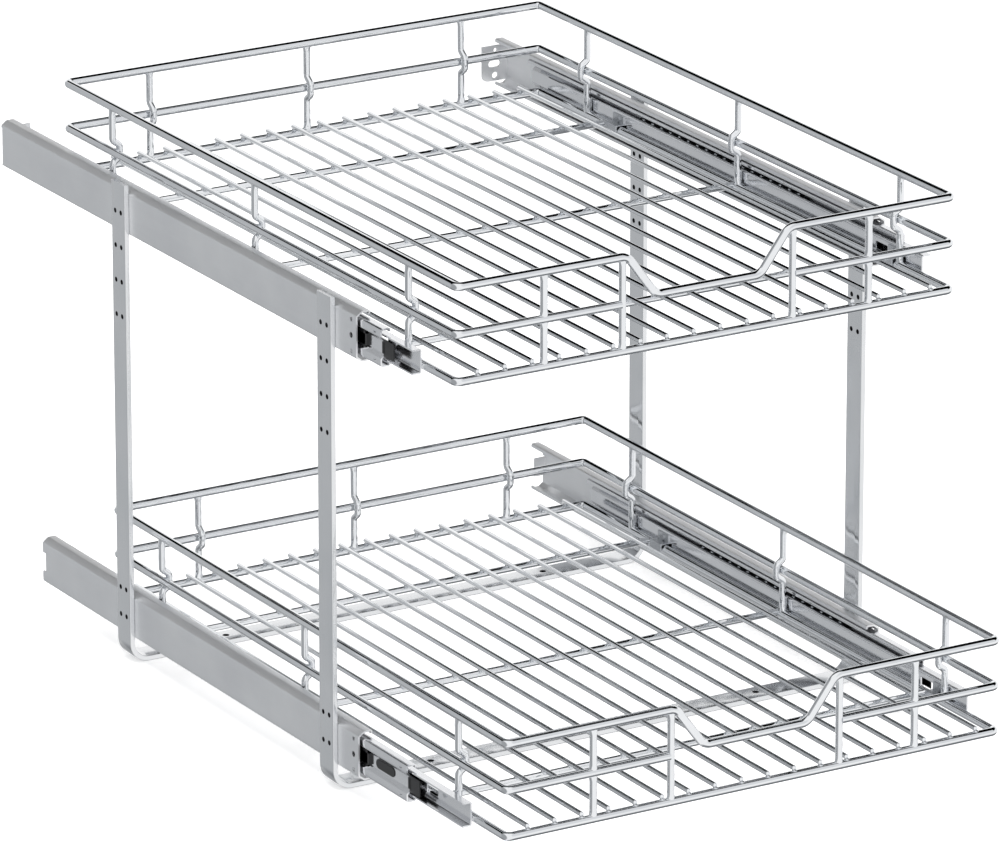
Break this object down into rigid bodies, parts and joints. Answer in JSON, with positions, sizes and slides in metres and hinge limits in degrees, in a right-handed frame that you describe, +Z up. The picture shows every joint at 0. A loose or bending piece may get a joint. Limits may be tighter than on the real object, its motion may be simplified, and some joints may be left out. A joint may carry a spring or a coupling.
{
  "type": "pull out cabinet basket",
  "caption": "Two-tier pull-out wire basket: welded chromed baskets on ball-bearing slides, carried by U-shaped steel straps that screw to a cabinet floor.",
  "frame": {"origin": "underside of the straps, on the centre plane, midway between the front and the rear strap", "axes": "+X to the right seen from the front, +Y towards the back of the cabinet, +Z up; the baskets pull out along -Y"},
  "size_m": [0.4224, 0.6745, 0.3935],
  "materials": {
    "chromed_wire": "polished chrome plate",
    "strap_steel": "bright chrome plate on flat steel",
    "slide_steel": "satin zinc plate",
    "cage_steel": "dull pressed steel",
    "bearing_steel": "polished balls",
    "screw_steel": "zinc plate",
    "black_plastic": "moulded, semi-matt"
  },
  "bodies": {
    "frame": {"front_strap": "strap_steel", "rear_strap": "strap_steel", "lower_screws": "screw_steel", "upper_screws": "screw_steel", "lower_left_outer_rail": "slide_steel", "lower_right_outer_rail": "slide_steel", "upper_left_outer_rail": "slide_steel", "upper_right_outer_rail": "slide_steel"},
    "lower_drawer": {"lower_top_rim": "chromed_wire", "lower_middle_rim": "chromed_wire", "lower_bottom_rim": "chromed_wire", "lower_cross_wires": "chromed_wire", "lower_floor_wires": "chromed_wire", "lower_front_posts": "chromed_wire", "lower_side_posts": "chromed_wire", "lower_back_posts": "chromed_wire", "lower_rim_clips": "slide_steel", "lower_clip_rivets": "slide_steel", "lower_left_drawer_rail": "slide_steel", "lower_right_drawer_rail": "slide_steel"},
    "lower_left_middle": {"lower_left_middle_rail": "slide_steel", "lower_left_slide_plastics": "black_plastic"},
    "lower_left_outer_race": {"lower_left_outer_cage": "cage_steel", "lower_left_outer_balls": "bearing_steel"},
    "lower_left_inner_race": {"lower_left_inner_cage": "cage_steel", "lower_left_inner_balls": "bearing_steel"},
    "lower_right_middle": {"lower_right_middle_rail": "slide_steel", "lower_right_slide_plastics": "black_plastic"},
    "lower_right_outer_race": {"lower_right_outer_cage": "cage_steel", "lower_right_outer_balls": "bearing_steel"},
    "lower_right_inner_race": {"lower_right_inner_cage": "cage_steel", "lower_right_inner_balls": "bearing_steel"},
    "upper_drawer": {"upper_top_rim": "chromed_wire", "upper_middle_rim": "chromed_wire", "upper_bottom_rim": "chromed_wire", "upper_cross_wires": "chromed_wire", "upper_floor_wires": "chromed_wire", "upper_front_posts": "chromed_wire", "upper_side_posts": "chromed_wire", "upper_back_posts": "chromed_wire", "upper_rim_clips": "slide_steel", "upper_clip_rivets": "slide_steel", "upper_left_drawer_rail": "slide_steel", "upper_right_drawer_rail": "slide_steel"},
    "upper_left_middle": {"upper_left_middle_rail": "slide_steel", "upper_left_slide_plastics": "black_plastic"},
    "upper_left_outer_race": {"upper_left_outer_cage": "cage_steel", "upper_left_outer_balls": "bearing_steel"},
    "upper_left_inner_race": {"upper_left_inner_cage": "cage_steel", "upper_left_inner_balls": "bearing_steel"},
    "upper_right_middle": {"upper_right_middle_rail": "slide_steel", "upper_right_slide_plastics": "black_plastic"},
    "upper_right_outer_race": {"upper_right_outer_cage": "cage_steel", "upper_right_outer_balls": "bearing_steel"},
    "upper_right_inner_race": {"upper_right_inner_cage": "cage_steel", "upper_right_inner_balls": "bearing_steel"}
  },
  "joints": [
    {"name": "lower_drawer_slide", "type": "slide", "parent": "frame", "child": "lower_drawer", "axis": [0, -1, 0], "range_m": [-0.126, 0.31]},
    {"name": "lower_left_middle_slide", "type": "slide", "parent": "frame", "child": "lower_left_middle", "axis": [0, -1, 0], "range_m": [-0.0635, 0.1555]},
    {"name": "lower_left_outer_race_slide", "type": "slide", "parent": "frame", "child": "lower_left_outer_race", "axis": [0, -1, 0], "range_m": [-0.032, 0.078]},
    {"name": "lower_left_inner_race_slide", "type": "slide", "parent": "frame", "child": "lower_left_inner_race", "axis": [0, -1, 0], "range_m": [-0.095, 0.233]},
    {"name": "lower_right_middle_slide", "type": "slide", "parent": "frame", "child": "lower_right_middle", "axis": [0, -1, 0], "range_m": [-0.0635, 0.1555]},
    {"name": "lower_right_outer_race_slide", "type": "slide", "parent": "frame", "child": "lower_right_outer_race", "axis": [0, -1, 0], "range_m": [-0.032, 0.078]},
    {"name": "lower_right_inner_race_slide", "type": "slide", "parent": "frame", "child": "lower_right_inner_race", "axis": [0, -1, 0], "range_m": [-0.095, 0.233]},
    {"name": "upper_drawer_slide", "type": "slide", "parent": "frame", "child": "upper_drawer", "axis": [0, -1, 0], "range_m": [-0.062, 0.42]},
    {"name": "upper_left_middle_slide", "type": "slide", "parent": "frame", "child": "upper_left_middle", "axis": [0, -1, 0], "range_m": [-0.0315, 0.2105]},
    {"name": "upper_left_outer_race_slide", "type": "slide", "parent": "frame", "child": "upper_left_outer_race", "axis": [0, -1, 0], "range_m": [-0.016, 0.1055]},
    {"name": "upper_left_inner_race_slide", "type": "slide", "parent": "frame", "child": "upper_left_inner_race", "axis": [0, -1, 0], "range_m": [-0.047, 0.3155]},
    {"name": "upper_right_middle_slide", "type": "slide", "parent": "frame", "child": "upper_right_middle", "axis": [0, -1, 0], "range_m": [-0.0315, 0.2105]},
    {"name": "upper_right_outer_race_slide", "type": "slide", "parent": "frame", "child": "upper_right_outer_race", "axis": [0, -1, 0], "range_m": [-0.016, 0.1055]},
    {"name": "upper_right_inner_race_slide", "type": "slide", "parent": "frame", "child": "upper_right_inner_race", "axis": [0, -1, 0], "range_m": [-0.047, 0.3155]}
  ],
  "couplings": [
    {"joint": "lower_left_middle_slide", "follows": "lower_drawer_slide", "ratio": 0.5},
    {"joint": "lower_left_outer_race_slide", "follows": "lower_drawer_slide", "ratio": 0.25},
    {"joint": "lower_left_inner_race_slide", "follows": "lower_drawer_slide", "ratio": 0.75},
    {"joint": "lower_right_middle_slide", "follows": "lower_drawer_slide", "ratio": 0.5},
    {"joint": "lower_right_outer_race_slide", "follows": "lower_drawer_slide", "ratio": 0.25},
    {"joint": "lower_right_inner_race_slide", "follows": "lower_drawer_slide", "ratio": 0.75},
    {"joint": "upper_left_middle_slide", "follows": "upper_drawer_slide", "ratio": 0.5},
    {"joint": "upper_left_outer_race_slide", "follows": "upper_drawer_slide", "ratio": 0.25},
    {"joint": "upper_left_inner_race_slide", "follows": "upper_drawer_slide", "ratio": 0.75},
    {"joint": "upper_right_middle_slide", "follows": "upper_drawer_slide", "ratio": 0.5},
    {"joint": "upper_right_outer_race_slide", "follows": "upper_drawer_slide", "ratio": 0.25},
    {"joint": "upper_right_inner_race_slide", "follows": "upper_drawer_slide", "ratio": 0.75}
  ]
}
